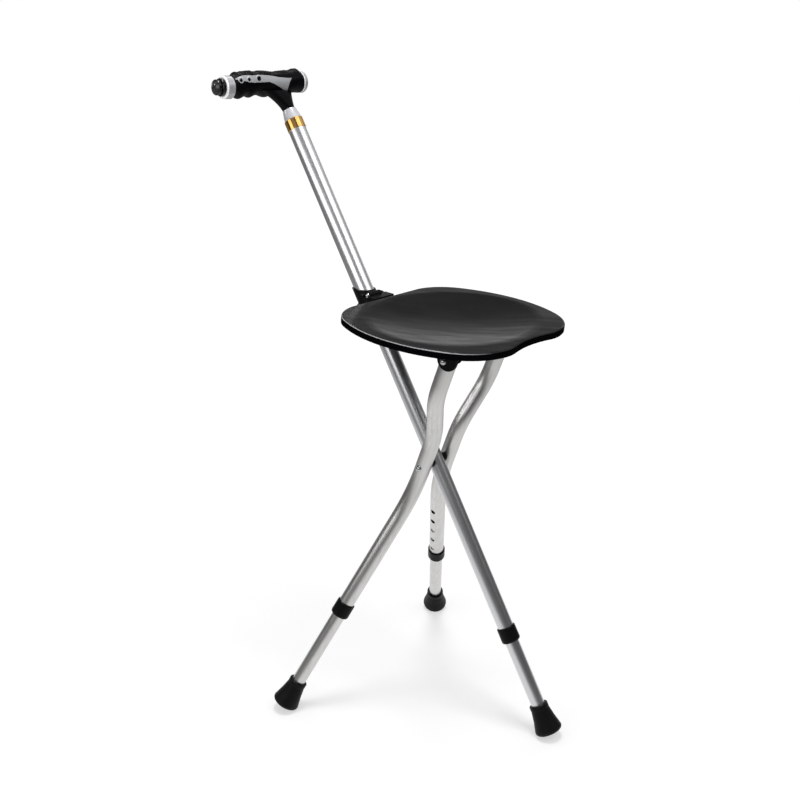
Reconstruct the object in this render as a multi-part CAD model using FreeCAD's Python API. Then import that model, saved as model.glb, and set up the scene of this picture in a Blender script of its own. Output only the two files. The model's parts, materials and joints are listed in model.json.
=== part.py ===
import FreeCAD
import Part
import math
import os

from FreeCAD import Placement, Rotation, Vector

# Walking stick seat, opened as a stool. Millimetres, +Z up, +Y towards the rear edge of the seat,
# +X towards the open end of the handle's torch. The model is drawn about a point on the shaft's
# centre line a little above the floor, from which all heights are counted. It is moved at the end,
# so that the origin lies on the floor under the centre of its box.

# Angles of the open frame, in degrees
shaft_lean = 29.55
leg_lean = 20.5
leg_splay = 24.8
seat_tilt = 5.2
grip_yaw = -7.5

# Tubes
upper_tube_radius = 12.7
upper_tube_wall = 1.3
shaft_radius = 11.0
tube_wall = 1.3
extension_wall = 1.3
sliding_gap = 0.1
running_gap = 0.05
side_gap = 0.3

# Heights along the shaft
floor_level = -10.0
cross_bolt_height = 400.0
shaft_tube_bottom = 134.5
shaft_top_height = 830.0
brass_ring_bottom = 897.0
neck_bottom = 927.0

# Linkage: both links have one length, so the sleeve stays on the shaft as the seat folds
link_length = 181.0

# Legs, in the plane of each leg, measured from the cross bolt
leg_offset_at_bolt = 28.5
leg_offset_at_seat = 60.0
low_bend_height = -45.0
jog_start_height = 52.0
jog_end_height = 120.0
low_bend_radius = 190.0
jog_bend_radius = 95.0
leg_top_past_bolt = 11.0
leg_tube_stop = 156.0

# Leg extensions and their snap buttons
hole_pitch = 25.4
holes_above = 3
holes_below = 1
hole_radius = 4.0
button_up_from_tube_end = 55.5
extension_overlap = 85.0
button_radius = 3.8
button_throw = 2.4
leaf_thickness = 0.6
leaf_width = 6.0
leaf_length = 34.0

# Collars
collar_wall = 2.2
collar_length = 22.0
collar_lip = 4.0

# Rubber feet
tip_height = 41.0
tip_base_radius = 19.0
tip_waist_radius = 13.3
tip_mouth_radius = 13.0
tip_floor_thickness = 9.0
tip_edge_radius = 5.0
tip_flat_depth = 0.8
tip_groove_width = 1.6
tip_groove_depth = 1.5

# Bolts
cross_bolt_radius = 3.0
bolt_head_radius = 4.6
bolt_head_height = 3.0
spacer_radius = 6.5
seat_bolt_radius = 3.0
hinge_pin_radius = 3.5
hinge_pin_head_radius = 6.0
hinge_pin_head = 2.4
nut_radius = 5.2
nut_height = 4.0

# Seat, measured from its front edge and down from its rim
seat_length = 237.5
seat_front_half_width = 70.0
seat_half_width = 146.5
seat_corner_half_width = 129.0
seat_corner_in_front = 42.0
seat_corner_at_rear = 189.0
seat_rear_half_width = 72.0
seat_notch_half_width = 38.0
seat_notch_depth = 6.0
seat_skirt = 9.0
seat_wall = 3.0
seat_edge_radius = 2.5
seat_dish_depth = 9.0
seat_dish_half_width = 128.0
seat_dish_half_length = 103.0
seat_dish_middle = 116.0
seat_dish_softening = 70.0
seat_rib_spacing = 60.0
seat_rib_thickness = 2.5
seat_rib_depth = 15.0
hinge_to_front_edge = 25.2
hinge_below_rim = 17.9

# Hinge fork and leg brackets
fork_inner_half_width = 16.8
fork_arm_thickness = 5.0
fork_eye_radius = 7.5
fork_reach = 38.0
fork_plate_half_width = 32.0
ear_thickness = 3.0
ear_gap = 0.5
ear_radius = 15.0
ear_rise = 4.0
inner_ear_radius = 9.0
ear_shift = 5.5
bracket_screw_half_pitch = 10.0
fork_screw_half_pitch = 14.0
screw_radius = 1.6
screw_length = 5.5
screw_head_radius = 3.2
screw_head_height = 1.8

# Sleeve
sleeve_radius = 15.0
sleeve_below_hinge = 22.0
sleeve_above_hinge = 26.0
shelf_half_width = 21.0
shelf_thickness = 4.0
shelf_gap = 3.0
sleeve_bolt_above_hinge = 11.0
sleeve_bolt_behind = 14.4
sleeve_bolt_radius = 1.6
sleeve_bolt_head_radius = 3.7
stop_ring_height = 8.0
stop_ring_wall = 3.2
guide_head = 12.0
guide_spigot = 16.0

# Handle, along its own axis from the shaft's centre line
grip_height = 841.0
neck_radius = 8.7
cone_top_radius = 9.4
brass_ring_radius = 13.2
torch_ring_start = 82.0
torch_ring_length = 12.0
torch_ring_radius = 15.0
torch_axis_drop = 3.5
torch_bezel_radius = 11.8
torch_bezel_length = 4.6
torch_head_radius = 10.2
cap_start = -36.0
cap_length = 7.0
cap_radius = 14.6
cap_axis_rise = 2.4
cap_gap = 0.15
battery_radius = 7.2
battery_length = 44.0
pad_half_width = 9.0
pad_depth = 1.6
pad_rise = 0.7
pad_groove_pitch = 4.0
pad_groove_width = 1.2
pad_groove_depth = 0.8
trim_rise = 0.5
trim_depth = 1.2
switch_travel = 0.6
switch_depth = 3.0
switch_rise = 0.7
switch_gap = 0.15
# Ovals along the handle: station, rise of the centre, half height, half width
grip_stations = ((cap_start, 2.4, 14.2, 13.6), (-29.0, 3.5, 15.3, 14.4), (-16.0, 2.2, 15.0, 14.2),
                 (2.0, 0.6, 15.0, 14.0), (20.0, -0.1, 15.5, 14.4), (30.0, -0.4, 16.4, 14.6),
                 (41.0, 0.8, 15.0, 14.2), (51.0, -0.6, 16.6, 14.8), (58.0, -0.2, 15.6, 14.6),
                 (67.0, -1.6, 16.6, 14.8), (75.0, -1.6, 15.2, 14.4),
                 (torch_ring_start, -2.7, 14.5, 14.2))
# Buttons on the panel: station, height above the floor, radius
switches = ((72.0, 846.3, 2.2), (58.8, 847.2, 2.2), (42.3, 848.3, 3.1))

extension_radius = shaft_radius - tube_wall - sliding_gap
fold_angle = shaft_lean + leg_lean
hinge_spread = 2 * link_length * math.cos(math.radians(fold_angle))
sleeve_hinge_height = cross_bolt_height + hinge_spread
upper_tube_bore = upper_tube_radius - upper_tube_wall
link_dip = 90 - shaft_lean - fold_angle - seat_tilt
X = Vector(1, 0, 0)
Y = Vector(0, 1, 0)
Z = Vector(0, 0, 1)

parts = {}


def cylinder(radius, length, start=(0, 0, 0), axis=Z):
    return Part.makeCylinder(radius, length, Vector(*start), axis)


def pipe(outer, inner, length, start=(0, 0, 0), axis=Z):
    return cylinder(outer, length, start, axis).cut(cylinder(inner, length, start, axis))


def box(low, high):
    size = Vector(*high) - Vector(*low)
    return Part.makeBox(size.x, size.y, size.z, Vector(*low))


def turned(points):
    """Solid of revolution about Z from (radius, height) points, with arcs as (middle, end) pairs."""
    edges = []
    here = points[0]
    for item in points[1:]:
        if isinstance(item[0], tuple):
            middle, end = item
            edges.append(Part.Arc(Vector(here[0], 0, here[1]), Vector(middle[0], 0, middle[1]),
                                  Vector(end[0], 0, end[1])).toShape())
        else:
            end = item
            edges.append(Part.LineSegment(Vector(here[0], 0, here[1]),
                                          Vector(end[0], 0, end[1])).toShape())
        here = end
    first = points[0]
    edges.append(Part.LineSegment(Vector(here[0], 0, here[1]),
                                  Vector(first[0], 0, first[1])).toShape())
    face = Part.Face(Part.Wire(edges))
    return face.revolve(Vector(0, 0, 0), Z, 360)


def placed(shape, placement):
    copy = shape.copy()
    copy.Placement = placement.multiply(copy.Placement)
    return copy


def mirrored(shape):
    return shape.mirror(Vector(0, 0, 0), X)


def joined(shapes):
    first = shapes[0]
    result = first.fuse(shapes[1:]) if len(shapes) > 1 else first
    return result.removeSplitter()


def dome(radius, height, start, axis):
    """Round bolt head: a spherical cap standing on a disc."""
    ball_radius = (radius ** 2 + height ** 2) / (2 * height)
    ball = Part.makeSphere(ball_radius, Vector(*start) - axis * (ball_radius - height))
    return ball.common(cylinder(radius, height, start, axis))


# Frames: each piece is drawn about its own part of the frame and then placed
shaft_frame = Placement(Vector(0, 0, 0), Rotation(X, shaft_lean))
cross_bolt_point = shaft_frame.multVec(Vector(0, 0, cross_bolt_height))
sleeve_hinge_point = shaft_frame.multVec(Vector(0, 0, sleeve_hinge_height))
leg_frame = Placement(cross_bolt_point, Rotation(X, -leg_lean))
seat_frame = Placement(sleeve_hinge_point, Rotation(X, -seat_tilt))
leg_hinge_in_seat = Vector(0, link_length * math.cos(math.radians(link_dip)),
                           -link_length * math.sin(math.radians(link_dip)))
leg_hinge_point = seat_frame.multVec(leg_hinge_in_seat)
grip_centre = shaft_frame.multVec(Vector(0, 0, grip_height / math.cos(math.radians(shaft_lean))))
grip_frame = Placement(grip_centre, Rotation(Z, grip_yaw).multiply(Rotation(Y, 90)))


def rubber_tip():
    """Bell-shaped foot about Z, its base at zero, with a bore for the extension tube."""
    edge = tip_edge_radius
    profile = [(0, 0)]
    for angle in (0, 22.5, 45, 67.5, 90):
        turn = math.radians(angle)
        profile.append((tip_base_radius - edge + edge * math.sin(turn), edge - edge * math.cos(turn)))
    flank_high = tip_height - 7.0
    middle_radius = (tip_base_radius + tip_waist_radius) / 2 - 0.8
    profile += [(middle_radius, (edge + flank_high) / 2), (tip_waist_radius - 0.6, flank_high),
                (tip_mouth_radius, flank_high + 1.5), (tip_mouth_radius, tip_height - 0.8),
                (tip_mouth_radius - 0.8, tip_height), (0, tip_height)]
    body = turned(profile)
    bore = cylinder(extension_radius, tip_height, (0, 0, tip_floor_thickness))
    body = body.cut(bore)
    groove_radius = tip_base_radius * 0.5
    groove = pipe(groove_radius + tip_groove_width, groove_radius, tip_groove_depth)
    return body.cut(groove)


def collar():
    """Black collar over the lower end of an outer tube; its lip runs down round the extension."""
    outer = shaft_radius + collar_wall
    lip_bore = extension_radius + side_gap
    top = collar_length - collar_lip
    profile = [(lip_bore, -collar_lip), (outer - 2.6, -collar_lip), (outer - 0.8, -collar_lip + 1.0),
               (outer, -collar_lip + 3.2), (outer - 0.2, top - 0.9), (outer - 1.0, top),
               (shaft_radius, top), (shaft_radius, 0), (lip_bore, 0)]
    return turned(profile)


def snap_button():
    """Button and its folded leaf spring about the extension's axis Z, pressed in, facing +X."""
    top = extension_radius - sliding_gap
    flange_radius = button_radius + 0.9
    reach = extension_radius - extension_wall - sliding_gap
    flange_top = math.sqrt(reach ** 2 - flange_radius ** 2) - button_throw
    flange_bottom = flange_top - 1.4
    stem = cylinder(button_radius, top - 1.0 - flange_bottom, (flange_bottom, 0, 0), X)
    crown = dome(button_radius, 1.0, (top - 1.0, 0, 0), X)
    flange = cylinder(flange_radius, 1.4, (flange_bottom, 0, 0), X)
    far_side = -(extension_radius - extension_wall - 1.6)
    half = leaf_width / 2
    near_leaf = box((flange_bottom - leaf_thickness, -half, -leaf_length),
                    (flange_bottom, half, 5.0))
    far_leaf = box((far_side, -half, -leaf_length), (far_side + leaf_thickness, half, 5.0))
    bend = box((far_side, -half, -leaf_length - leaf_thickness),
               (flange_bottom, half, -leaf_length))
    return joined([stem, crown, flange, near_leaf, far_leaf, bend])


def telescopic_foot(name, frame, tube_end, button_side):
    """Extension, snap button and rubber foot of one tube, in a frame with Z up along the tube.

    The frame's origin is on the tube's centre line at height zero."""
    lean = frame.Rotation.multVec(Z).getAngle(Z)
    edge_lift = tip_edge_radius * (math.cos(lean) + math.sin(lean) - 1)
    base = (floor_level - edge_lift - tip_flat_depth) / math.cos(lean) + tip_base_radius * math.tan(lean)
    bottom = base + tip_floor_thickness
    top = tube_end + extension_overlap
    tube = pipe(extension_radius, extension_radius - extension_wall, top - bottom, (0, 0, bottom))
    button_height = tube_end + button_up_from_tube_end
    turn = Placement(Vector(0, 0, 0), Rotation(Z, button_side))
    hole = placed(cylinder(hole_radius, shaft_radius, (0, 0, button_height), X), turn)
    tube = tube.cut(hole)
    button = placed(snap_button(), Placement(Vector(0, 0, button_height), Rotation(Z, button_side)))
    tip = placed(rubber_tip(), Placement(Vector(0, 0, base), Rotation()))
    floor = box((-600, -600, floor_level - 60), (600, 600, floor_level))
    parts[name + "_extension"] = placed(tube, frame)
    parts[name + "_snap_button"] = placed(button, frame)
    parts[name + "_tip"] = placed(tip, frame).cut(floor)


def button_holes(tube_end, button_side):
    """Row of holes in an outer tube, one of them over the button."""
    holes = []
    for step in range(-holes_below, holes_above + 1):
        height = tube_end + button_up_from_tube_end + step * hole_pitch
        hole = cylinder(hole_radius, shaft_radius + 1, (0, 0, height), X)
        holes.append(placed(hole, Placement(Vector(0, 0, 0), Rotation(Z, button_side))))
    return holes


def shaft():
    """Lower tube with everything fixed to it."""
    length = shaft_top_height - shaft_tube_bottom
    bore = shaft_radius - tube_wall
    tube = pipe(shaft_radius, bore, length, (0, 0, shaft_tube_bottom))
    tube = tube.cut(button_holes(shaft_tube_bottom, -90))
    bolt_hole = cylinder(cross_bolt_radius, 4 * shaft_radius,
                         (-2 * shaft_radius, 0, cross_bolt_height), X)
    tube = tube.cut(bolt_hole)
    parts["shaft_tube"] = placed(tube, shaft_frame)

    head = cylinder(upper_tube_bore - sliding_gap, guide_head, (0, 0, shaft_top_height))
    head = head.makeChamfer(1.5, [head.Edges[0]])
    spigot = cylinder(bore, guide_spigot, (0, 0, shaft_top_height - guide_spigot))
    parts["shaft_top_guide"] = placed(joined([head, spigot]), shaft_frame)

    parts["shaft_collar"] = placed(collar(), shaft_frame.multiply(
        Placement(Vector(0, 0, shaft_tube_bottom), Rotation())))

    ring_top = sleeve_hinge_height - sleeve_below_hinge - side_gap
    ring = pipe(shaft_radius + stop_ring_wall, shaft_radius, stop_ring_height,
                (0, 0, ring_top - stop_ring_height))
    ring = ring.makeChamfer(0.8, [ring.Edges[0], ring.Edges[2]])
    parts["stop_ring"] = placed(ring, shaft_frame)

    leg_outside = leg_offset_at_bolt + shaft_radius
    head_start = leg_outside + side_gap
    shank = cylinder(cross_bolt_radius, 2 * head_start, (-head_start, 0, cross_bolt_height), X)
    bolt_head = dome(bolt_head_radius, bolt_head_height, (head_start, 0, cross_bolt_height), X)
    parts["cross_bolt"] = placed(joined([shank, bolt_head]), shaft_frame)
    nut = dome(nut_radius, nut_height, (-head_start, 0, cross_bolt_height), X * -1)
    parts["cross_nut"] = placed(nut, shaft_frame)

    spacer_length = leg_offset_at_bolt - shaft_radius - side_gap
    spacer = pipe(spacer_radius, cross_bolt_radius, spacer_length, (0, 0, cross_bolt_height), X)
    spacer = spacer.cut(cylinder(shaft_radius, 60, (0, 0, cross_bolt_height - 30)))
    parts["bolt_spacers"] = placed(Part.makeCompound([spacer, mirrored(spacer)]), shaft_frame)

    telescopic_foot("shaft", shaft_frame, shaft_tube_bottom, -90)


def leg_corners():
    """Corner points of a leg's centre line in its plane, from the foot to the top."""
    floor_drop = cross_bolt_point.z / math.cos(math.radians(leg_lean))
    low_run = floor_drop + low_bend_height
    foot_offset = leg_offset_at_bolt + low_run * math.tan(math.radians(leg_splay))
    return [(foot_offset, -floor_drop), (leg_offset_at_bolt, low_bend_height),
            (leg_offset_at_bolt, jog_start_height), (leg_offset_at_seat, jog_end_height),
            (leg_offset_at_seat, link_length + leg_top_past_bolt)]


def rounded_path(corners, radii):
    """Wire through corner points with tangent arcs of the given radii."""
    points = [Vector(x, 0, z) for x, z in corners]
    edges = []
    here = points[0]
    for before, corner, after, radius in zip(points, points[1:], points[2:], radii):
        back = (before - corner).normalize()
        on = (after - corner).normalize()
        half_turn = (math.pi - back.getAngle(on)) / 2
        reach = radius * math.tan(half_turn)
        start = corner + back * reach
        end = corner + on * reach
        inward = (back + on).normalize()
        middle = corner + inward * (radius / math.cos(half_turn) - radius)
        edges.append(Part.LineSegment(here, start).toShape())
        edges.append(Part.Arc(start, middle, end).toShape())
        here = end
    edges.append(Part.LineSegment(here, points[-1]).toShape())
    return Part.Wire(edges)


def swept_rod(path, radius):
    start = path.Edges[0].firstVertex().Point
    direction = path.Edges[0].tangentAt(path.Edges[0].FirstParameter)
    circle = Part.Wire([Part.Circle(start, direction, radius).toShape()])
    return path.makePipeShell([circle], True, False)


def legs():
    """Both bent legs with their collars, plugs and feet."""
    corners = leg_corners()
    radii = (low_bend_radius, jog_bend_radius, jog_bend_radius)
    foot = Vector(corners[0][0], 0, corners[0][1])
    bend = Vector(corners[1][0], 0, corners[1][1])
    rise = (bend - foot).normalize()
    tube_end = foot + rise * leg_tube_stop
    path = rounded_path([(tube_end.x, tube_end.z)] + corners[1:], radii)
    bore = shaft_radius - tube_wall
    tube = swept_rod(path, shaft_radius).cut(swept_rod(path, bore))
    bolt_hole = cylinder(cross_bolt_radius + running_gap, 6 * shaft_radius, (0, 0, 0), X)
    seat_hole = cylinder(seat_bolt_radius + running_gap, 6 * shaft_radius,
                         (leg_offset_at_seat - 3 * shaft_radius, 0, link_length), X)
    tube = tube.cut([bolt_hole, seat_hole])

    along = Placement(foot, Rotation(Y, -leg_splay))
    holes = [placed(hole, along) for hole in button_holes(leg_tube_stop, 180)]
    tube = tube.cut(holes)
    ring = placed(collar(), Placement(tube_end, Rotation(Y, -leg_splay)))
    plug_length = 30.0
    top = link_length + leg_top_past_bolt
    plug = joined([cylinder(bore, plug_length, (leg_offset_at_seat, 0, top - plug_length)),
                   cylinder(shaft_radius, 2.0, (leg_offset_at_seat, 0, top))])
    plug = plug.cut(seat_hole)

    sides = (("left", False), ("right", True))
    for side, is_mirrored in sides:
        for name, shape in (("leg", tube), ("collar", ring), ("leg_plug", plug)):
            shape = mirrored(shape) if is_mirrored else shape
            parts[side + "_" + name] = placed(shape, leg_frame)
    left_frame = leg_frame.multiply(along)
    telescopic_foot("left", left_frame, leg_tube_stop, 180)
    for name in ("extension", "snap_button", "tip"):
        parts["right_" + name] = mirrored(parts["left_" + name])


def seat_outline(inset):
    """Closed outline of the seat, drawn inwards by inset, on the rim plane of the seat frame."""
    front = hinge_to_front_edge
    rear = front + seat_length

    def line(a, b):
        return Part.LineSegment(Vector(*a), Vector(*b)).toShape()

    def arc(a, b, c):
        return Part.Arc(Vector(*a), Vector(*b), Vector(*c)).toShape()

    rim = hinge_below_rim
    front_mid = ((seat_front_half_width + seat_corner_half_width) / 2 + 7.0, front + 13.5, rim)
    front_end = (seat_front_half_width, front, rim)
    corner = (seat_corner_half_width, front + seat_corner_in_front, rim)
    side = (seat_half_width, front + (seat_corner_in_front + seat_corner_at_rear) / 2, rim)
    rear_corner = (seat_corner_half_width, front + seat_corner_at_rear, rim)
    rear_mid = ((seat_rear_half_width + seat_corner_half_width) / 2 + 6.0, rear - 19.5, rim)
    rear_end = (seat_rear_half_width, rear - 2.5, rim)
    lobe = ((seat_rear_half_width + seat_notch_half_width) / 2, rear, rim)
    notch_end = (seat_notch_half_width, rear - 2.0, rim)
    notch = (0, rear - seat_notch_depth, rim)

    def flip(point):
        return (-point[0], point[1], point[2])

    right = [arc(front_end, front_mid, corner), arc(corner, side, rear_corner),
             arc(rear_corner, rear_mid, rear_end), arc(rear_end, lobe, notch_end)]
    middle = arc(notch_end, notch, flip(notch_end))
    left = [arc(flip(notch_end), flip(lobe), flip(rear_end)),
            arc(flip(rear_end), flip(rear_mid), flip(rear_corner)),
            arc(flip(rear_corner), flip(side), flip(corner)),
            arc(flip(corner), flip(front_mid), flip(front_end))]
    wire = Part.Wire(right + [middle] + left + [line(flip(front_end), front_end)])
    if inset:
        wire = wire.makeOffset2D(-inset)
    return wire


def seat_slab(inset, top, bottom):
    face = Part.Face(seat_outline(inset))
    slab = face.extrude(Vector(0, 0, bottom - top))
    return slab.translated(Vector(0, 0, top))


def dish(deeper):
    """Block that hollows the seat, an arc swept about a far axis, or with deeper its outer skin."""
    across = (seat_dish_half_width ** 2 + seat_dish_depth ** 2) / (2 * seat_dish_depth) + deeper
    along = (seat_dish_half_length ** 2 + seat_dish_depth ** 2) / (2 * seat_dish_depth) + deeper
    middle = hinge_to_front_edge + seat_dish_middle
    low = hinge_below_rim - seat_dish_depth - deeper
    top = hinge_below_rim + 3.0
    half = math.sqrt(along ** 2 - (along - (top - low)) ** 2)
    front = Vector(0, middle - half, top)
    rear = Vector(0, middle + half, top)
    arc = Part.Arc(front, Vector(0, middle, low), rear).toShape()
    chord = Part.LineSegment(rear, front).toShape()
    profile = Part.Face(Part.Wire([arc, chord]))
    turn = 2 * math.degrees(math.asin(0.99 * seat_half_width / across))
    centre = Vector(0, 0, low + across)
    profile.rotate(centre, Y, -turn / 2)
    return profile.revolve(centre, Y, turn)


def rib(x, start, end, rim):
    """Stiffening rib below the seat, running front to back, its ends sloping up into the shell."""
    left = x - seat_rib_thickness / 2
    low = rim - seat_rib_depth
    shallow = rim - seat_skirt + 1.5
    outline = [(start, rim - 1), (start, shallow), (start + 25, low), (end - 45, low),
               (end, shallow), (end, rim - 1)]
    points = [Vector(left, y, z) for y, z in outline]
    face = Part.Face(Part.makePolygon(points + [points[0]]))
    return face.extrude(Vector(seat_rib_thickness, 0, 0))


def screw(at):
    """Pan-head screw pointing up, its head hanging below the given point."""
    shank = cylinder(screw_radius, screw_length, at)
    head = dome(screw_head_radius, screw_head_height, at, Z * -1)
    return joined([shank, head])


def seat():
    """Moulded seat, its hinge fork, leg brackets and their fasteners, in the seat frame."""
    slab = seat_slab(0, 0, -seat_skirt)
    top_face = max(slab.Faces, key=lambda face: face.CenterOfMass.z)
    slab = slab.makeFillet(seat_edge_radius, top_face.Edges)
    deep = seat_slab(seat_wall, 0, -seat_skirt - seat_dish_depth)
    bowl = dish(seat_wall).common(deep)
    cavity = seat_slab(seat_wall, -seat_wall, -seat_skirt)
    hollow = slab.cut(cavity)
    rim = hinge_below_rim
    front = hinge_to_front_edge
    ribs = []
    for side in (-1, 1):
        x = side * seat_rib_spacing / 2
        ribs.append(rib(x, front + 1, front + seat_length - 12, rim))
    shell = joined([hollow, bowl] + ribs).cut(dish(0))
    rim_edges = [edge for edge in shell.Edges if edge.BoundBox.ZMin > rim - 0.01]
    dish_edge = max(rim_edges, key=lambda edge: edge.Length)
    shell = shell.makeFillet(seat_dish_softening, [dish_edge])
    relief_half_width = fork_inner_half_width + fork_arm_thickness + 1.0
    relief = box((-relief_half_width, front - 5, rim - seat_skirt - 5),
                 (relief_half_width, front + seat_wall + 2, rim - seat_wall - 0.5))
    shell = shell.cut(relief)

    eye = cylinder(fork_eye_radius, fork_arm_thickness, (fork_inner_half_width, 0, 0), X)
    arm_end = front + fork_reach
    beam = box((fork_inner_half_width, 0, -fork_eye_radius),
               (fork_inner_half_width + fork_arm_thickness, front + seat_wall, fork_eye_radius))
    toe = box((fork_inner_half_width, front + seat_wall, -fork_eye_radius * 0.4),
              (fork_inner_half_width + fork_arm_thickness, arm_end, rim))
    arm = joined([eye, beam, toe])
    plate_low = 9.6
    plate = box((-fork_plate_half_width + 4, front + seat_wall + 3, plate_low),
                (fork_plate_half_width - 4, arm_end, rim))
    fork = joined([arm, mirrored(arm), plate])
    pin_hole = cylinder(hinge_pin_radius + running_gap, 80, (-40, 0, 0), X)
    fork = fork.cut(pin_hole).cut(dish(seat_wall)).cut(box((-60, -20, rim - seat_wall), (60, 90, rim + 5)))
    fork = fork.cut(shell)

    hinge = leg_hinge_in_seat
    inner = leg_offset_at_seat - shaft_radius - ear_gap - ear_thickness
    outer = leg_offset_at_seat + shaft_radius + ear_gap
    ears = []
    for x, radius, middle, rise in ((inner, inner_ear_radius, hinge.y, 0),
                                    (outer, ear_radius, hinge.y + ear_shift, ear_rise)):
        round_end = cylinder(radius, ear_thickness, (x, middle, hinge.z + rise), X)
        web = box((x, middle - radius, hinge.z + rise),
                  (x + ear_thickness, middle + radius, rim - seat_wall))
        ears += [round_end, web]
    ceiling = hinge.z + shaft_radius + leg_top_past_bolt
    bridge = box((inner, hinge.y + ear_shift - ear_radius, ceiling),
                 (outer + ear_thickness, hinge.y + ear_shift + ear_radius, rim - seat_wall))
    bracket = joined(ears + [bridge]).cut(dish(seat_wall))
    bolt_hole = cylinder(seat_bolt_radius, 60, (inner - 10, hinge.y, hinge.z), X)
    bracket = bracket.cut(bolt_hole).cut(shell)

    bolt_start = inner - side_gap
    bolt_end = outer + ear_thickness
    shank = cylinder(seat_bolt_radius, bolt_end - bolt_start, (bolt_start, hinge.y, hinge.z), X)
    head = dome(bolt_head_radius, bolt_head_height, (bolt_end, hinge.y, hinge.z), X)
    bolt = joined([shank, head])
    nut = dome(nut_radius, nut_height, (bolt_start, hinge.y, hinge.z), X * -1)

    screws = []
    for side in (-1, 1):
        for along in (-1, 1):
            at = (side * leg_offset_at_seat, hinge.y + ear_shift + along * bracket_screw_half_pitch,
                  ceiling)
            screws.append(screw(at))
        at = (side * fork_screw_half_pitch, (front + seat_wall + 3 + arm_end) / 2, plate_low)
        screws.append(screw(at))
    shell = shell.cut(screws)
    fork = fork.cut(screws)
    brackets = [bracket.cut(screws), mirrored(bracket).cut(screws)]

    parts["seat_shell"] = placed(shell, seat_frame)
    parts["hinge_fork"] = placed(fork, seat_frame)
    parts["left_leg_bracket"] = placed(brackets[0], seat_frame)
    parts["right_leg_bracket"] = placed(brackets[1], seat_frame)
    parts["bracket_screws"] = placed(Part.makeCompound(screws), seat_frame)
    parts["left_leg_bolt"] = placed(bolt, seat_frame)
    parts["right_leg_bolt"] = placed(mirrored(bolt), seat_frame)
    parts["leg_bolt_nuts"] = placed(Part.makeCompound([nut, mirrored(nut)]), seat_frame)


def sleeve():
    """Upper tube, its sleeve with the shelf, and the hinge pins, in the shaft frame."""
    hinge = sleeve_hinge_height
    tube_bottom = hinge - sleeve_below_hinge
    tube = pipe(upper_tube_radius, upper_tube_bore, brass_ring_bottom + 8 - tube_bottom,
                (0, 0, tube_bottom))
    pin_start = upper_tube_bore + side_gap
    pin_head = fork_inner_half_width + fork_arm_thickness + side_gap
    pin = joined([cylinder(hinge_pin_radius, pin_head - pin_start, (pin_start, 0, hinge), X),
                  cylinder(hinge_pin_head_radius, hinge_pin_head, (pin_head, 0, hinge), X)])
    pin_hole = cylinder(hinge_pin_radius, 80, (-40, 0, hinge), X)
    tube = tube.cut(pin_hole)

    to_shaft = shaft_frame.inverse().multiply(seat_frame)
    barrel = cylinder(sleeve_radius, sleeve_below_hinge + sleeve_above_hinge + 20, (0, 0, tube_bottom))
    boss_end = fork_inner_half_width - side_gap
    boss = cylinder(fork_eye_radius, 2 * boss_end, (-boss_end, 0, hinge), X)
    rim = hinge_below_rim
    shelf_end = hinge_to_front_edge - shelf_gap
    shelf = placed(box((-shelf_half_width, -4, rim - shelf_thickness),
                       (shelf_half_width, shelf_end, rim)), to_shaft)
    gusset = placed(box((-3, 4, 2), (3, shelf_end - 2, rim - 1)), to_shaft)
    screw_height = hinge + sleeve_bolt_above_hinge
    lug = cylinder(5.0, 25.0, (-9, sleeve_bolt_behind, screw_height), X)
    body = joined([barrel, boss, shelf, gusset, lug])
    top_cut = placed(box((-60, -60, sleeve_above_hinge - 3.4), (60, 60, 120)),
                     shaft_frame.inverse().multiply(Placement(sleeve_hinge_point, Rotation())))
    body = body.cut(top_cut)
    body = body.cut(cylinder(upper_tube_radius, 200, (0, 0, tube_bottom - 1))).cut(pin_hole)
    screw_hole = cylinder(sleeve_bolt_radius, 60, (-30, sleeve_bolt_behind, screw_height), X)
    recess = cylinder(sleeve_bolt_head_radius + 0.8, 20, (16, sleeve_bolt_behind, screw_height), X)
    body = body.cut([screw_hole, recess])
    screw = joined([cylinder(sleeve_bolt_radius, 24.0, (-8, sleeve_bolt_behind, screw_height), X),
                    dome(sleeve_bolt_head_radius, 2.4, (16, sleeve_bolt_behind, screw_height), X)])

    parts["upper_tube"] = placed(tube, shaft_frame)
    parts["seat_sleeve"] = placed(body, shaft_frame)
    parts["hinge_pins"] = placed(Part.makeCompound([pin, mirrored(pin)]), shaft_frame)
    parts["sleeve_bolt"] = placed(screw, shaft_frame)


def neck_rings():
    """Brass ring and pale cone at the top of the upper tube, in the shaft frame."""
    bottom = brass_ring_bottom
    ring_height = 15.0
    seat_step = 8.0
    outer = brass_ring_radius
    ring = cylinder(outer, ring_height, (0, 0, bottom))
    ring = ring.makeChamfer(0.4, [ring.Edges[0], ring.Edges[2]])
    ring = ring.cut(cylinder(upper_tube_radius, seat_step, (0, 0, bottom)))
    ring = ring.cut(cylinder(neck_radius - 2, ring_height, (0, 0, bottom)))
    cone_bottom = bottom + ring_height
    cone = turned([(neck_radius - 2, cone_bottom), (outer - 0.8, cone_bottom),
                   ((outer - 1.6, cone_bottom + 5.0), (cone_top_radius, neck_bottom)),
                   (neck_radius - 2, neck_bottom)])
    parts["brass_ring"] = placed(ring, shaft_frame)
    parts["neck_cone"] = placed(cone, shaft_frame)


def oval(station, rise, half_height, half_width):
    """Closed oval across the handle at a station along it, in the grip frame (Z along, -X up)."""
    major, minor = half_height, half_width
    centre = Vector(-rise, 0, station)
    if major >= minor:
        ellipse = Part.Ellipse(centre + Vector(major, 0, 0), centre + Vector(0, minor, 0), centre)
    else:
        ellipse = Part.Ellipse(centre + Vector(0, minor, 0), centre + Vector(-major, 0, 0), centre)
    return Part.Wire([ellipse.toShape()])


def grip_form(swell):
    """Handle bar along the grip frame, its ovals swelled by the given amount."""
    ovals = [oval(station, rise, high + swell, wide + swell)
             for station, rise, high, wide in grip_stations]
    return Part.makeLoft(ovals, True, False)


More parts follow.
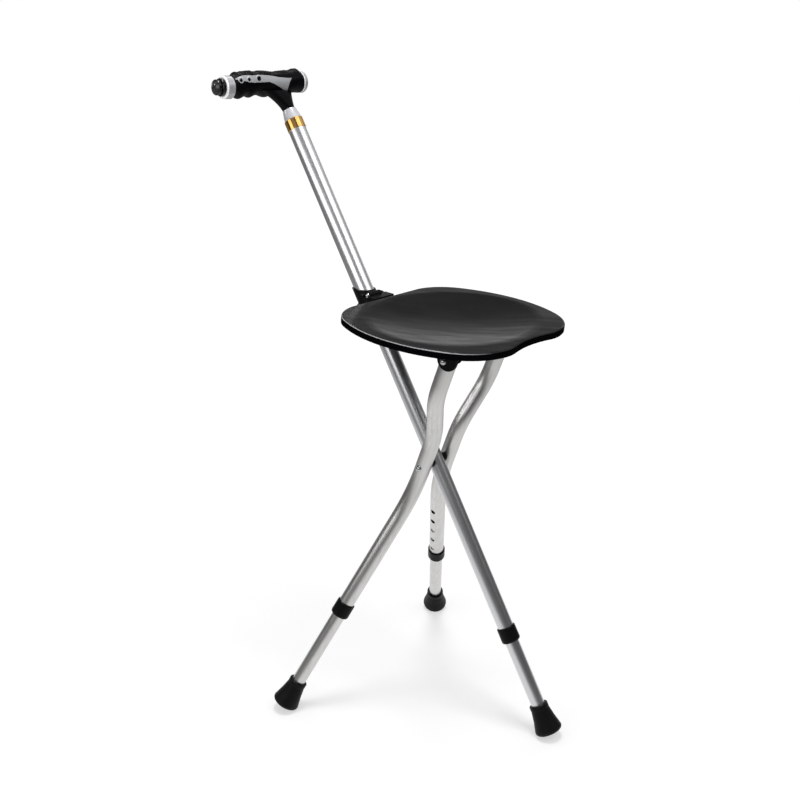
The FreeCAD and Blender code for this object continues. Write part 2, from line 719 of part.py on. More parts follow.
def grip_size(station):
    """Rise, half height and half width of the handle at a station, between the given ovals."""
    for near, far in zip(grip_stations, grip_stations[1:]):
        if near[0] <= station <= far[0]:
            share = (station - near[0]) / (far[0] - near[0])
            return [a + share * (b - a) for a, b in zip(near[1:], far[1:])]


def neck_form():
    """Neck that turns from the lean of the shaft into the underside of the handle."""
    lean = math.radians(shaft_lean)
    start = placed(Part.Wire([Part.Circle(Vector(0, 0, neck_bottom), Z, neck_radius).toShape()]),
                   shaft_frame)
    wires = [start]
    sections = [(-25.0, 3.2, 13.4, 10.4), (-17.5, 5.9, 18.9, 11.4), (-8.0, 11.0, 28.0, 12.4)]
    for drop, shift, half_length, half_width in sections:
        height = grip_height + drop
        centre = Vector(shift, -math.tan(lean) * height, height)
        ellipse = Part.Ellipse(centre + Vector(half_length, 0, 0), centre + Vector(0, half_width, 0),
                               centre)
        wires.append(Part.Wire([ellipse.toShape()]))
    return Part.makeLoft(wires, True, False)


def trim_prism():
    """Prism through the near half of the handle with the outline of its control panel."""
    def spot(along, height):
        return Vector(grip_height - height, 0, along)

    top = [spot(*at) for at in ((80.5, 847.6), (72, 851.2), (52, 852.4), (30, 853.0), (8, 850.2), (-13.5, 848.8))]
    right = [top[-1], spot(-8.3, 842.4), spot(-6.6, 829.0)]
    low = [right[-1], spot(8.5, 837.6), spot(26, 844.2), spot(52, 843.2), top[0]]
    edges = [Part.Arc(top[0], top[1], top[2]).toShape(), Part.Arc(top[2], top[3], top[4]).toShape(),
             Part.LineSegment(top[4], top[5]).toShape(), Part.Arc(*right).toShape(),
             Part.Arc(low[0], low[1], low[2]).toShape(), Part.LineSegment(low[2], low[3]).toShape(),
             Part.LineSegment(low[3], low[4]).toShape()]
    face = Part.Face(Part.Wire(edges))
    prism = face.extrude(Vector(0, 30, 0)).translated(Vector(0, 4, 0))
    rings = [cylinder(radius + 1.4, 30, (grip_height - height, 4, along), Y)
             for along, height, radius in switches]
    return prism.fuse(rings)


def handle():
    """Grip, ribbed pad, control panel, torch, switches, battery and its cap."""
    bar = placed(grip_form(0), grip_frame)
    neck = neck_form()
    body = bar.fuse(neck).removeSplitter()
    spigot = placed(cylinder(neck_radius - 2, neck_bottom + 4 - brass_ring_bottom - 8,
                             (0, 0, brass_ring_bottom + 8)), shaft_frame)
    body = body.fuse(spigot).removeSplitter()
    body = body.common(placed(box((-60, -60, cap_start), (110, 60, torch_ring_start)), grip_frame))

    pad_window = placed(box((-60, -pad_half_width, cap_start + 5),
                            (-6, pad_half_width, torch_ring_start - 7)), grip_frame)
    core = placed(grip_form(-pad_depth), grip_frame)
    pad = placed(grip_form(pad_rise), grip_frame).common(pad_window).cut(core)
    ridges = int((torch_ring_start - cap_start - 18) / pad_groove_pitch)
    slots = []
    for index in range(ridges):
        at = cap_start + 8 + index * pad_groove_pitch
        rise, high, wide = grip_size(at)
        trim_in = pad_rise - pad_groove_depth
        floor = Part.Face(oval(at - 1, rise, high + trim_in, wide + trim_in))
        floor = floor.extrude(Vector(0, 0, pad_groove_width + 2))
        slot = box((-60, -pad_half_width - 5, at), (0, pad_half_width + 5, at + pad_groove_width))
        slots.append(slot.cut(floor))
    pad = pad.cut([placed(slot, grip_frame) for slot in slots])
    body = body.cut(pad_window.cut(core))

    swelled = grip_form(trim_rise)
    panel = placed(trim_prism(), grip_frame)
    trim_core = placed(grip_form(-trim_depth), grip_frame)
    trim = placed(swelled, grip_frame).common(panel).cut(trim_core).cut(pad_window)
    body = body.cut(panel.cut(trim_core).cut(pad_window))
    for name, (along, height, radius) in zip(("light_switch", "beacon_switch", "alarm_switch"), switches):
        drop = grip_height - height
        probe = Part.makeLine(Vector(drop, 4, along), Vector(drop, 40, along)).common(swelled)
        reach = probe.BoundBox.YMax + switch_rise
        button = joined([cylinder(radius, switch_depth, (drop, reach - 0.5 - switch_depth, along), Y),
                         dome(radius, 0.5, (drop, reach - 0.5, along), Y)])
        pocket = placed(cylinder(radius + switch_gap, 40,
                                 (drop, reach - 0.5 - switch_depth - switch_travel - switch_gap, along),
                                 Y), grip_frame)
        body = body.cut(pocket)
        trim = trim.cut(pocket)
        parts[name] = placed(button, grip_frame)

    battery_well = placed(cylinder(battery_radius + switch_gap, battery_length + 2,
                                   (-cap_axis_rise, 0, cap_start), Z), grip_frame)
    body = body.cut(battery_well)
    battery = placed(joined([cylinder(battery_radius, battery_length - 2,
                                      (-cap_axis_rise, 0, cap_start + 1.5), Z),
                             cylinder(2.4, 1.5, (-cap_axis_rise, 0, cap_start + battery_length - 0.5),
                                      Z)]), grip_frame)
    parts["grip_body"] = body
    parts["grip_pad"] = pad
    parts["grip_trim"] = trim
    parts["battery"] = battery

    ring_base = Placement(Vector(torch_axis_drop, 0, torch_ring_start), Rotation())
    ring = turned([(torch_bezel_radius, 0), (torch_ring_radius, 0),
                   (torch_ring_radius, torch_ring_length - 1.5),
                   (torch_ring_radius - 1.5, torch_ring_length),
                   (torch_bezel_radius, torch_ring_length)])
    front = torch_ring_length + torch_bezel_length
    bezel = turned([(0, 0), (torch_bezel_radius, 0), (torch_bezel_radius, front - 1.5),
                    (torch_bezel_radius - 0.5, front - 0.5), (torch_bezel_radius - 1.5, front),
                    (torch_head_radius - 2.0, front), (torch_head_radius - 2.0, front + 1.4),
                    (torch_head_radius - 0.4, front + 1.6), (torch_head_radius, front + 3.0),
                    (torch_head_radius, front + 5.0), (torch_head_radius - 0.3, front + 5.7),
                    (torch_head_radius - 1.0, front + 6.0), (0, front + 6.0)])
    lens = dome(torch_head_radius - 1.2, 2.6, (0, 0, front + 6.0), Z)
    parts["torch_ring"] = placed(placed(ring, ring_base), grip_frame)
    parts["torch_bezel"] = placed(placed(bezel, ring_base), grip_frame)
    parts["torch_lens"] = placed(placed(lens, ring_base), grip_frame)

    cap = turned([(0, 0), (cap_radius - 0.8, 0), (cap_radius, -0.8), (cap_radius, -cap_length + 3.5),
                  ((cap_radius - 1.0, -cap_length + 1.0), (cap_radius - 4.0, -cap_length)),
                  (0, -cap_length)])
    plug = cylinder(battery_radius, 1.2)
    cap = placed(joined([cap, plug]), Placement(Vector(-cap_axis_rise, 0, cap_start - cap_gap), Rotation()))
    parts["battery_cap"] = placed(cap, grip_frame)


def finish():
    """Move everything so that the origin is under the middle of the box, and write the files."""
    whole = Part.makeCompound(list(parts.values()))
    bounds = whole.optimalBoundingBox(False, False)
    shift = Vector(-(bounds.XMin + bounds.XMax) / 2, -(bounds.YMin + bounds.YMax) / 2, -bounds.ZMin)
    os.makedirs("parts", exist_ok=True)
    for name, shape in parts.items():
        moved = shape.translated(shift)
        moved.exportStep("parts/" + name + ".step")
        print(name, len(moved.Solids), "solids", round(moved.Volume), "mm3", moved.isValid())
    print("box", bounds.XLength, bounds.YLength, bounds.ZLength)
    print("shift", shift)
    for label, point in (("cross_bolt", cross_bolt_point), ("leg_hinge", leg_hinge_point),
                         ("sleeve_hinge", sleeve_hinge_point), ("grip", grip_centre)):
        print(label, point + shift)


shaft()
legs()
seat()
sleeve()
neck_rings()
handle()
finish()
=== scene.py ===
# %% [markdown]
# # A walking stick that opens into a seat
#
# The stick is drawn in metres, standing on the floor at z = 0. Its tubes, seat, joints and handle are
# solids that already have the right shape and size. This lesson dresses them: it finds the directions
# that matter, writes one finish for each material, adds the few thin pieces that a solid leaves out,
# and sets up a pale studio with the camera where the photographer stood.

import json
import math

import bpy
from mathutils import Matrix, Vector


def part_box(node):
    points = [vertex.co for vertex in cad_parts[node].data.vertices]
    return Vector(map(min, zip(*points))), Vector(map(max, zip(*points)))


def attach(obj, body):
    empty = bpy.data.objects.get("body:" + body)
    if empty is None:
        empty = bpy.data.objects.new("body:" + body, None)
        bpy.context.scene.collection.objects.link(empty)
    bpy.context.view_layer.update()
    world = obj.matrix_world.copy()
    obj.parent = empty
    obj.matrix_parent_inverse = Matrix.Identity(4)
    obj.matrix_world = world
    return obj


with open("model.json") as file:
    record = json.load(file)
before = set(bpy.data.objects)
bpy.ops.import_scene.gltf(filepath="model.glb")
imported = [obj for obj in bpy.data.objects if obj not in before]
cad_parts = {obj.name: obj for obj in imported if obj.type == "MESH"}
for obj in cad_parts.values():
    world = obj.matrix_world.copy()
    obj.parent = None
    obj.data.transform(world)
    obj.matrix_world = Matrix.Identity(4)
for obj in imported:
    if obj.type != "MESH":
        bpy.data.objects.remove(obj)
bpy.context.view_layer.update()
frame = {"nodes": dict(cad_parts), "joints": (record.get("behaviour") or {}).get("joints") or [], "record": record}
nodes = frame["nodes"]
joints = {joint["name"]: joint for joint in frame["joints"]}
print("solids:", len(nodes), "joints:", len(joints))

# %% [markdown]
# ## Directions worth naming
#
# A brushed tube is streaked along its length, and a torch ring is white only on its front. Both need a
# direction. The joints already hold most of them: the front foot slides along the shaft, the cap turns
# about the handle, and a button moves into its panel. Only the lean of the two legs is written here.

# %% Read the directions from the joints
shaft_up = Vector(joints["shaft_foot_slide"]["axis"])
torch_way = Vector(joints["cap_twist"]["axis"])
panel_in = Vector(joints["alarm_press"]["axis"])
straight_up = Vector((0, 0, 1))
shaft_lean = math.atan2(-shaft_up.y, shaft_up.z)
leg_lean = math.radians(20.5)
print("the shaft leans", round(math.degrees(shaft_lean), 1), "degrees")

# %% [markdown]
# ## Shader maths as plain sums
#
# A material in Blender is a net of nodes. Writing each Math node by hand hides the idea, so this small
# class wraps a socket: adding or multiplying two of them makes the node. One method of the other class
# makes every other kind of node, sets it up, then joins its inputs.

# %% A socket that can be added and multiplied
class Value:
    def __init__(self, paint, socket):
        self.paint = paint
        self.socket = socket

    def __add__(self, other):
        return self.paint.node("ShaderNodeMath", {"operation": "ADD"}, self, other)

    def __mul__(self, other):
        return self.paint.node("ShaderNodeMath", {"operation": "MULTIPLY"}, self, other)

    def __rsub__(self, other):
        return self.paint.node("ShaderNodeMath", {"operation": "SUBTRACT"}, other, self)

    __radd__ = __add__
    __rmul__ = __mul__

    def between(self, low, high):
        """0 below low, 1 above high, and a straight ramp from one to the other."""
        return self.paint.node("ShaderNodeMapRange", {"clamp": True}, self, low, high, 0.0, 1.0)


# %% A net of nodes
class Net:
    def __init__(self, tree):
        self.tree = tree

    def node(self, kind, settings=None, *values, out=0, **named):
        made = self.tree.nodes.new(kind)
        for key, setting in (settings or {}).items():
            setattr(made, key, setting)
        places = [(made.inputs[i], value) for i, value in enumerate(values)]
        places += [(made.inputs[key.replace("_", " ")], value) for key, value in named.items()]
        for place, value in places:
            self.join(place, value)
        return Value(self, made.outputs[out])

    def join(self, place, value):
        if isinstance(value, Value):
            self.tree.links.new(value.socket, place)
        elif value is not None:
            place.default_value = value


# %% A material that is built node by node
class Paint(Net):
    def __init__(self, name, **fixed):
        self.material = bpy.data.materials.new(name)
        self.material.use_nodes = True
        super().__init__(self.material.node_tree)
        self.shader = self.tree.nodes["Principled BSDF"]
        self.set(**fixed)

    def set(self, **values):
        for key, value in values.items():
            place = self.shader.inputs[key.replace("_", " ")]
            if isinstance(value, tuple) and len(value) == 3:
                value = (*value, 1)
            self.join(place, value)

    def place(self, lean=0.0, stretch=(1, 1, 1), axis="X_AXIS"):
        """Position on the piece, turned by lean about one axis and stretched."""
        at = self.node("ShaderNodeTexCoord", out=3)
        turned = self.node("ShaderNodeVectorRotate", {"rotation_type": axis}, at, Angle=lean)
        return self.node("ShaderNodeVectorMath", {"operation": "MULTIPLY"}, turned, stretch)

    def noise(self, place, scale, detail=3.0, rough=0.5):
        return self.node("ShaderNodeTexNoise", {"noise_dimensions": "3D"}, place, Scale=scale,
                         Detail=detail, Roughness=rough)

    def facing(self, way):
        """How squarely the surface looks along a direction in the room, from -1 to 1."""
        normal = self.node("ShaderNodeNewGeometry", out=1)
        return self.node("ShaderNodeVectorMath", {"operation": "DOT_PRODUCT"}, normal, tuple(way), out=1)

    def blend(self, mask, first, second):
        """The first colour where the mask is 0, the second where it is 1."""
        mix = self.tree.nodes.new("ShaderNodeMix")
        mix.data_type = "RGBA"
        self.join(mix.inputs["Factor"], mask)
        places = [place for place in mix.inputs if place.type == "RGBA"]
        for place, colour in zip(places, (first, second)):
            self.join(place, (*colour, 1) if isinstance(colour, tuple) else colour)
        return Value(self, [place for place in mix.outputs if place.type == "RGBA"][0])

    def bump(self, height, strength, distance):
        made = self.node("ShaderNodeBump", None, Strength=strength, Distance=distance, Height=height)
        self.join(self.shader.inputs["Normal"], made)


# %% [markdown]
# ## Aluminium tube
#
# The tubes are drawn aluminium with a satin anodised skin. Drawing leaves faint lines along the tube,
# which catch the light as soft streaks, and the skin is never quite even. Long thin noise makes the
# lines, and slow noise changes the roughness a little, so that a highlight is not one clean stripe.

# %% Satin and bright aluminium
def aluminium(name, colour, rough, lean, streak, contrast):
    paint = Paint(name, Metallic=1.0)
    lines = paint.noise(paint.place(lean, (280, 280, 4)), 1.0, 2.0)
    cloud = paint.noise(paint.place(lean), 18.0, 3.0)
    dark = tuple(c * contrast for c in colour)
    paint.set(Base_Color=paint.blend(lines.between(0.35, 0.7) * 0.5 + cloud * 0.3, colour, dark))
    paint.set(Roughness=lines * streak + cloud * 0.06 + (rough - 0.5 * streak - 0.03))
    paint.bump(lines, 0.012, 0.0002)
    return paint.material


satin_shaft = aluminium("satin_aluminium_shaft", (0.68, 0.685, 0.70), 0.31, -shaft_lean, 0.06, 0.88)
satin_leg = aluminium("satin_aluminium_leg", (0.66, 0.655, 0.645), 0.31, leg_lean, 0.09, 0.78)
bright_tube = aluminium("bright_aluminium", (0.84, 0.845, 0.86), 0.27, -shaft_lean, 0.05, 0.9)
print("aluminium finishes:", satin_shaft.name, satin_leg.name, bright_tube.name)

# %% [markdown]
# ## Black nylon, grip plastic and rubber
#
# Almost every other piece is black, but no two blacks shine alike. The brackets are glass-filled nylon
# with a fine grain, the grip is a smoother moulding, and the feet are rubber that has picked up dust
# near the floor. Grain is a bump, wear is a change of roughness, and dust is a change of colour.

# %% Moulded blacks
def moulding(name, colour, rough, grain, depth, shine=0.5, coat=0.0):
    paint = Paint(name, Specular_IOR_Level=shine, Coat_Weight=coat, Coat_Roughness=0.12)
    fine = paint.noise(paint.place(), grain, 4.0, 0.6)
    slow = paint.noise(paint.place(), 25.0, 2.0)
    pale = tuple(min(1, c * 1.5 + 0.004) for c in colour)
    paint.set(Base_Color=paint.blend(slow.between(0.3, 0.8) * 0.5, colour, pale))
    paint.set(Roughness=slow * 0.12 + fine * 0.08 + (rough - 0.1))
    paint.bump(fine, 0.25, depth)
    return paint.material


black_nylon = moulding("black_nylon", (0.0025, 0.0025, 0.003), 0.36, 1800.0, 0.00006, 0.08)
grip_plastic = moulding("grip_plastic", (0.0015, 0.0015, 0.002), 0.30, 1400.0, 0.00004, 0.06)
pad_rubber = moulding("pad_rubber", (0.005, 0.005, 0.005), 0.50, 2500.0, 0.0001, 0.15)
gloss_black = moulding("gloss_black", (0.0015, 0.0015, 0.002), 0.16, 900.0, 0.00001, 0.2, 0.4)
grey_trim = moulding("grey_trim", (0.245, 0.252, 0.262), 0.42, 1600.0, 0.00004, 0.4)


# %% Rubber feet, dusty near the floor
def rubber():
    paint = Paint("foot_rubber", Specular_IOR_Level=0.10)
    at = paint.place()
    height = paint.node("ShaderNodeSeparateXYZ", None, at, out=2)
    fine = paint.noise(at, 900.0, 4.0, 0.65)
    patch = paint.noise(at, 60.0, 4.0, 0.6)
    dust = (1 - height.between(0.0, 0.016)) * patch.between(0.35, 0.75)
    paint.set(Base_Color=paint.blend(dust * 0.55, (0.004, 0.004, 0.0045), (0.06, 0.058, 0.055)))
    paint.set(Roughness=dust * 0.25 + fine * 0.1 + 0.42)
    paint.bump(fine, 0.35, 0.00012)
    return paint.material


foot_rubber = rubber()
print("blacks:", [m.name for m in (black_nylon, grip_plastic, pad_rubber, gloss_black, foot_rubber)])

# %% [markdown]
# ## The seat
#
# The seat is one moulding with two finishes: a satin top, which shows grey under the lamps, and a
# polished edge, which stays black. The mould makes both, so the change follows the shape. Looking
# straight up means top, and a soft step on that gives the line where one finish meets the other. The top
# carries long smears and a few finer scuffs, which show only in how much the clear skin reflects.
#
# Two things here are short cuts. The photograph has a fine line of light along the corner towards +X.
# It is painted in pale grey, not reflected, so it stays where it is when the lamps change; a rounder
# corner and a lamp would be the sound way. And the masks read directions in the room, so they are right
# while the seat is open: when it is folded up, much of the top takes the black finish of the edge.

# %% Satin top, polished edge
def seat_plastic():
    paint = Paint("seat_plastic", Specular_IOR_Level=0.0, Coat_Roughness=0.17)
    square_to_open_seat = (0.0, 0.09, 0.996)
    lit_corner_way = (1.0, -0.1, 0.0)
    up = paint.facing(square_to_open_seat)
    top = up.between(0.55, 0.8)
    corner = up.between(0.45, 0.55) * (1 - up.between(0.74, 0.84))
    painted_light = corner * paint.facing(lit_corner_way).between(0.2, 0.55)
    fine = paint.noise(paint.place(), 1300.0, 4.0, 0.6)
    slow = paint.noise(paint.place(), 14.0, 3.0)
    scuff = paint.noise(paint.place(0.4, (40, 220, 60)), 1.0, 5.0, 0.7).between(0.62, 0.8)
    satin = paint.blend(slow.between(0.3, 0.7), (0.009, 0.009, 0.0095), (0.013, 0.013, 0.0135))
    black = (0.0015, 0.0015, 0.002)
    light_grey = (0.34, 0.34, 0.35)
    paint.set(Base_Color=paint.blend(painted_light, paint.blend(top, black, satin), light_grey))
    paint.set(Roughness=top * (slow * 0.1 + scuff * 0.05 + 0.24) + fine * 0.05 + 0.16)
    along = paint.place(math.radians(-38), (75, 14, 40), "Z_AXIS")
    smear = paint.noise(along, 1.0, 3.0, 0.6).between(0.4, 0.68)
    paint.set(Coat_Weight=top * (smear * 0.22 + scuff * 0.1 + 0.3) + 0.03)
    paint.bump(fine * top, 0.25, 0.00008)
    return paint.material


seat_satin = seat_plastic()

# %% [markdown]
# ## Small metal and the torch
#
# Screws and bolts are zinc plated steel, the ring under the handle is polished brass, and the torch
# ring is silver paint with a white front. The front is found by its direction, as the seat's top was.

# %% Zinc, brass, cone, silver ring, lens and battery
def plain_metal(name, colour, rough, grain=500.0):
    paint = Paint(name, Metallic=1.0)
    cloud = paint.noise(paint.place(), grain, 3.0, 0.6)
    paint.set(Base_Color=paint.blend(cloud.between(0.3, 0.75), colour, tuple(c * 0.8 for c in colour)))
    paint.set(Roughness=cloud * 0.08 + (rough - 0.04))
    paint.bump(cloud, 0.02, 0.00005)
    return paint.material


def silver_paint():
    paint = Paint("silver_ring", IOR=1.5, Coat_Weight=0.3, Coat_Roughness=0.1)
    front = paint.facing(torch_way).between(0.2, 0.45)
    flake = paint.noise(paint.place(), 2600.0, 2.0)
    slow = paint.noise(paint.place(), 60.0, 2.0)
    silver = paint.blend(flake.between(0.3, 0.8), (0.36, 0.36, 0.38), (0.46, 0.46, 0.48))
    paint.set(Base_Color=paint.blend(front, silver, (0.95, 0.95, 0.96)))
    paint.set(Metallic=(1 - front) * 0.35)
    paint.set(Roughness=flake * 0.08 + slow * 0.06 + 0.28)
    paint.bump(flake, 0.05, 0.00002)
    return paint.material


def clear_cone():
    paint = Paint("clear_cone", IOR=1.46, Coat_Weight=0.4, Coat_Roughness=0.08)
    slow = paint.noise(paint.place(), 70.0, 3.0)
    paint.set(Base_Color=paint.blend(slow.between(0.3, 0.7), (0.40, 0.40, 0.43), (0.48, 0.48, 0.51)))
    paint.set(Roughness=slow * 0.1 + 0.16)
    paint.bump(slow, 0.04, 0.0002)
    return paint.material


zinc_steel = plain_metal("zinc_steel", (0.50, 0.51, 0.52), 0.20)
brass = plain_metal("brass", (0.85, 0.48, 0.15), 0.10, 90.0)
silver_ring = silver_paint()
cone_plastic = clear_cone()
lens_plastic = moulding("lens_plastic", (0.020, 0.020, 0.022), 0.14, 700.0, 0.00001, 0.3, 0.5)
battery_wrap = moulding("battery_wrap", (0.22, 0.24, 0.27), 0.35, 800.0, 0.00001)
print("small finishes:", [m.name for m in (zinc_steel, brass, silver_ring, cone_plastic)])

# %% [markdown]
# ## Give every solid its finish
#
# The record names a slot of material for each solid. The same slot can need two finishes here, because
# the legs' streaks run another way than the shaft's, so a short list by name comes first.

# %% Assign the finishes
by_slot = {
    "satin_aluminium": satin_shaft, "bright_aluminium": bright_tube, "black_nylon": black_nylon,
    "seat_plastic": seat_satin, "zinc_steel": zinc_steel, "foot_rubber": foot_rubber, "brass": brass,
    "clear_cone": cone_plastic, "grip_plastic": grip_plastic, "pad_rubber": pad_rubber,
    "grey_trim": grey_trim, "silver_ring": silver_ring, "gloss_black": gloss_black,
    "lens": lens_plastic, "battery_wrap": battery_wrap,
}
slot_of = {part["node"]: part["material_slot"] for part in frame["record"]["subparts"]}
for name, solid in nodes.items():
    finish = by_slot[slot_of[name]]
    if finish is satin_shaft and not name.startswith("shaft"):
        finish = satin_leg
    for slot in solid.material_slots:
        slot.material = finish
print("dressed", len(nodes), "solids in", len(set(by_slot.values())) + 1, "finishes")

# %% [markdown]
# ## Rims round the switches
#
# Each switch on the handle's panel sits in a bright moulded rim. A rim is a thin ring, so a circle of
# points with a round bevel makes it. It lies where the switch comes out of the panel.

# %% Make the rims
def round_bar(name, thickness, roundness, finish):
    """A curve with a round bevel, still without points."""
    bend = bpy.data.curves.new(name, "CURVE")
    bend.dimensions = "3D"
    bend.bevel_depth = thickness
    bend.bevel_resolution = roundness
    bend.materials.append(finish)
    piece = bpy.data.objects.new(name, bend)
    bpy.context.scene.collection.objects.link(piece)
    return piece


def add_line(piece, places):
    line = piece.data.splines.new("POLY")
    line.points.add(len(places) - 1)
    for point, at in zip(line.points, places):
        point.co = (*at, 1)
    return line


def ring(name, centre, axis, radius, thickness, finish, count=48):
    side = axis.orthogonal().normalized()
    other = axis.cross(side)
    turns = [2 * math.pi * i / count for i in range(count)]
    places = [centre + side * radius * math.cos(t) + other * radius * math.sin(t) for t in turns]
    piece = round_bar(name, thickness, 3, finish)
    add_line(piece, places).use_cyclic_u = True
    return piece


rim_finish = moulding("switch_rim", (0.52, 0.52, 0.54), 0.25, 900.0, 0.00002)
rim_thickness = 0.0008
rim_gap = 0.0011
rim_below_switch_top = 0.0017
switches = ("light_switch", "beacon_switch", "alarm_switch")
for name in switches:
    low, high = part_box(name)
    reach = (high - low).y / 2 - rim_below_switch_top
    radius = (high - low).z / 2 + rim_gap
    centre = (low + high) / 2 - panel_in * reach
    rim = ring(name + "_rim", centre, panel_in, radius, rim_thickness, rim_finish)
    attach(rim, "mast")
print("rims:", len(switches))

# %% [markdown]
# ## Ribs on top of the grip
#
# The soft strip on the handle is ribbed, and the ribs show as small teeth along the top of the grip.
# A rib has to lie on the strip however that swells, so rays are shot at the handle in a fan, from the
# outside towards the middle. Where a ray meets the strip first, the rib has a point. Each rib is one
# short curve, and all of them are one piece.

# %% Lay the ribs on the strip
rib_pitch = 0.0046
rib_thickness = 0.0015
rib_end_margin = 0.003
fan_half_turn = math.radians(54)
fan_rays = 19
fan_reach = 0.08
fan_height_in_ring = 0.015


def points_on_strip(start, sideways, graph):
    found = []
    for i in range(fan_rays):
        turn = fan_half_turn * (2 * i / (fan_rays - 1) - 1)
        out = straight_up * math.cos(turn) + sideways * math.sin(turn)
        hit, at, normal, face, owner, matrix = bpy.context.scene.ray_cast(
            graph, start + out * fan_reach, -out, distance=fan_reach)
        if hit and owner.name == nodes["grip_pad"].name:
            found.append(at)
    return found


def pad_ribs():
    low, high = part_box("grip_pad")
    middle = (low + high) / 2
    middle.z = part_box("torch_ring")[0].z + fan_height_in_ring
    half_length = (high - low).x / 2 / abs(torch_way.x)
    steps = int(2 * (half_length - rib_end_margin) / rib_pitch)
    sideways = torch_way.cross(straight_up).normalized()
    graph = bpy.context.evaluated_depsgraph_get()
    starts = [middle + torch_way * ((i - steps / 2) * rib_pitch) for i in range(steps + 1)]
    ribs = [points_on_strip(start, sideways, graph) for start in starts]
    piece = round_bar("pad_ribs", rib_thickness, 2, pad_rubber)
    for places in ribs:
        if len(places) > 1:
            add_line(piece, places)
    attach(piece, "mast")
    return len(piece.data.splines)


print("ribs:", pad_ribs())

# %% [markdown]
# ## Studio
#
# The photograph has a white ground with only a soft shadow by each foot. The floor is white and fades
# to pure white a little way out, by adding light to it only where the camera looks. Polished tubes
# mirror the floor too, bright below the object and dimmer further out. The lamps stay gentle, so that
# the colours on the object render about as they are written.

# %% Floor
def studio_floor():
    side = 6.0
    mesh = bpy.data.meshes.new("floor")
    corners = [(-side, -side, 0), (side, -side, 0), (side, side, 0), (-side, side, 0)]
    mesh.from_pydata(corners, [], [(0, 1, 2, 3)])
    floor = bpy.data.objects.new("floor", mesh)
    bpy.context.scene.collection.objects.link(floor)
    paint = Paint("floor_white", Roughness=0.9, Specular_IOR_Level=0.0)
    paint.set(Base_Color=(0.80, 0.80, 0.80))
    seen = paint.node("ShaderNodeLightPath", out=0)
    glossy = paint.node("ShaderNodeLightPath", out=3)
    away = paint.node("ShaderNodeVectorMath", {"operation": "LENGTH"}, paint.place(), out=1)
    far = away.between(0.25, 0.75)
    near = 1 - away.between(0.35, 1.7)
    light = seen * 1.05 + glossy * (near * 0.8 + 0.2)
    glow = paint.node("ShaderNodeEmission", None, light, 1.0)
    mask = seen * (far * 0.5 + 0.5) + glossy
    mix = paint.node("ShaderNodeMixShader", None, mask, Value(paint, paint.shader.outputs[0]), glow)
    paint.join(paint.tree.nodes["Material Output"].inputs["Surface"], mix)
    mesh.materials.append(paint.material)
    return side


print("floor reaches", studio_floor(), "m each way")

# %% [markdown]
# ## The room that the metal mirrors
#
# A polished tube shows the room more than its own colour. The room here has four pale areas for mirrors
# alone: a low wall behind the object, a higher patch to its left, a weak fill in front, and a ceiling.
# Each is a mask made from the direction of a ray: how far it rises, and how far it points some way.


# %% World
def studio_world():
    """White to the camera, pale to soft light, and to mirrors a dark room with a lit wall behind."""
    world = bpy.data.worlds.new("studio")
    bpy.context.scene.world = world
    world.use_nodes = True
    net = Net(world.node_tree)
    seen = net.node("ShaderNodeLightPath", out=0)
    glossy = net.node("ShaderNodeLightPath", out=3)
    way = net.node("ShaderNodeTexCoord", out=0)
    rise = net.node("ShaderNodeSeparateXYZ", None, way, out=2)

    def towards(direction):
        return net.node("ShaderNodeVectorMath", {"operation": "DOT_PRODUCT"}, way, direction, out=1)

    behind, left, front = (-0.78, -0.62, 0.0), (-0.77, 0.64, 0.0), (1.0, 0.0, 0.0)
    low_wall = rise.between(-0.02, 0.06) * (1 - rise.between(0.12, 0.38))
    wall = low_wall * towards(behind).between(0.45, 0.9)
    side_wall = rise.between(0.36, 0.48) * towards(left).between(0.5, 0.75)
    high_band = rise.between(0.25, 0.4) * (1 - rise.between(0.62, 0.72))
    front_fill = high_band * towards(front).between(0.35, 0.6)
    ceiling = rise.between(0.82, 0.9)
    mirror = wall * 1.1 + side_wall * 0.6 + front_fill * 0.25 + ceiling * 1.2 + 0.06
    soft = (1 - seen) * (1 - glossy) * 0.5
    background = net.tree.nodes["Background"]
    net.join(background.inputs["Color"], seen + (1 - seen) * glossy * mirror + soft)
    return world


print("world:", studio_world().name)

# %% [markdown]
# ## Lamps
#
# Five soft lamps light the object. The one straight above draws the shadows that run in from the feet.
# The photograph's ground stays white under the seat, so only tubes, legs, collars and feet block this
# lamp, and the wide seat lets it through. That is a choice for likeness: a real seat would shade the
# floor. Light linking holds the list of pieces that may block one lamp.

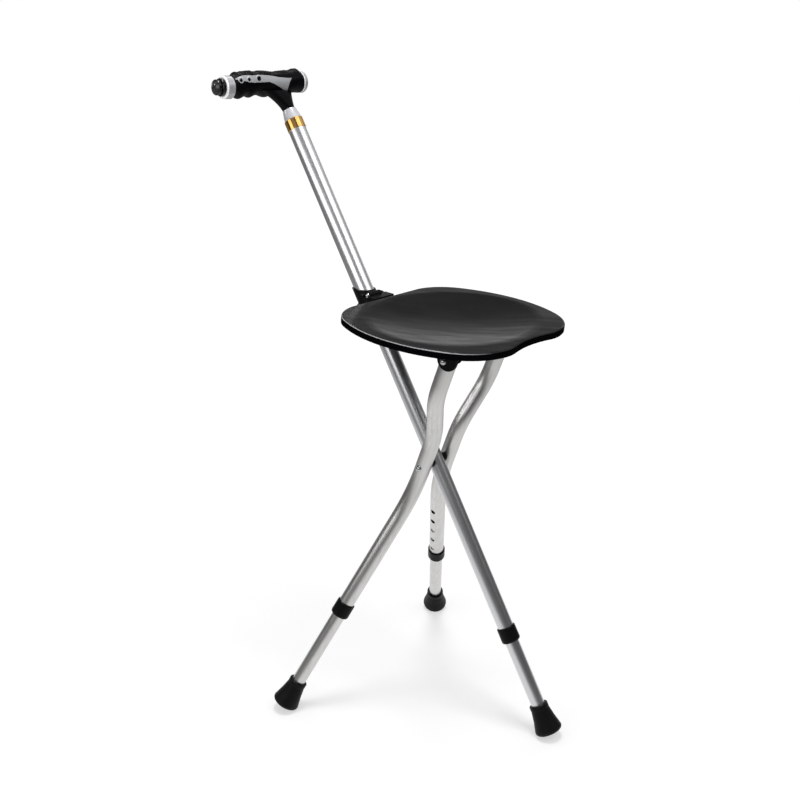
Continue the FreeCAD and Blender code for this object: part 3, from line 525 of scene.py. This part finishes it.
# %% Lamps
def lamp(name, place, aim, size, power):
    light = bpy.data.lights.new(name, "AREA")
    light.shape = "RECTANGLE"
    light.size, light.size_y = size
    light.energy = power
    piece = bpy.data.objects.new(name, light)
    piece.location = place
    piece.rotation_euler = (Vector(aim) - Vector(place)).to_track_quat("-Z", "Y").to_euler()
    bpy.context.scene.collection.objects.link(piece)
    return piece


handle_and_seat = (0.0, -0.1, 0.6)
lamp("side_lamp", (1.5, -0.2, 0.98), handle_and_seat, (1.8, 0.62), 6.5)
lamp("high_lamp", (-0.1, 1.25, 1.95), handle_and_seat, (1.5, 0.8), 7.0)
lamp("back_lamp", (-0.9, -1.1, 2.5), handle_and_seat, (1.4, 0.5), 6.0)
top_lamp = lamp("top_lamp", (0.0, 0.05, 2.6), (0.0, 0.05, 0.0), (0.6, 0.6), 34.0)
lamp("glint_lamp", (1.2, -1.7, 1.4), handle_and_seat, (0.25, 0.25), 2.5)

shading = bpy.data.collections.new("pieces_that_shade_the_floor")
for name, solid in nodes.items():
    if name.endswith(("_tube", "_leg", "_extension", "_collar", "_tip")):
        shading.objects.link(solid)
top_lamp.light_linking.blocker_collection = shading

# %% [markdown]
# ## Camera
#
# The place and the lens were worked out from the photograph: the feet, the bolts and the handle have
# known places on the object, and only one camera sees them all where the photograph does.

# %% Camera
camera_place = Vector((1.028193, 0.799273, 0.867352))
camera_way = Vector((-0.743456, -0.590257, -0.314435)).normalized()
camera_lens = 44.6065


def camera_like_photo():
    data = bpy.data.cameras.new("camera")
    data.sensor_width = 36.0
    data.lens = camera_lens
    data.clip_end = 50.0
    camera = bpy.data.objects.new("camera", data)
    bpy.context.scene.collection.objects.link(camera)
    right = camera_way.cross(straight_up).normalized()
    up = right.cross(camera_way)
    turn = Matrix((right, up, -camera_way)).transposed().to_4x4()
    camera.matrix_world = Matrix.Translation(camera_place) @ turn
    bpy.context.scene.camera = camera
    return camera


camera = camera_like_photo()
bpy.context.scene.view_settings.view_transform = "Standard"
print("camera height", round(camera.location.z, 3), "m")
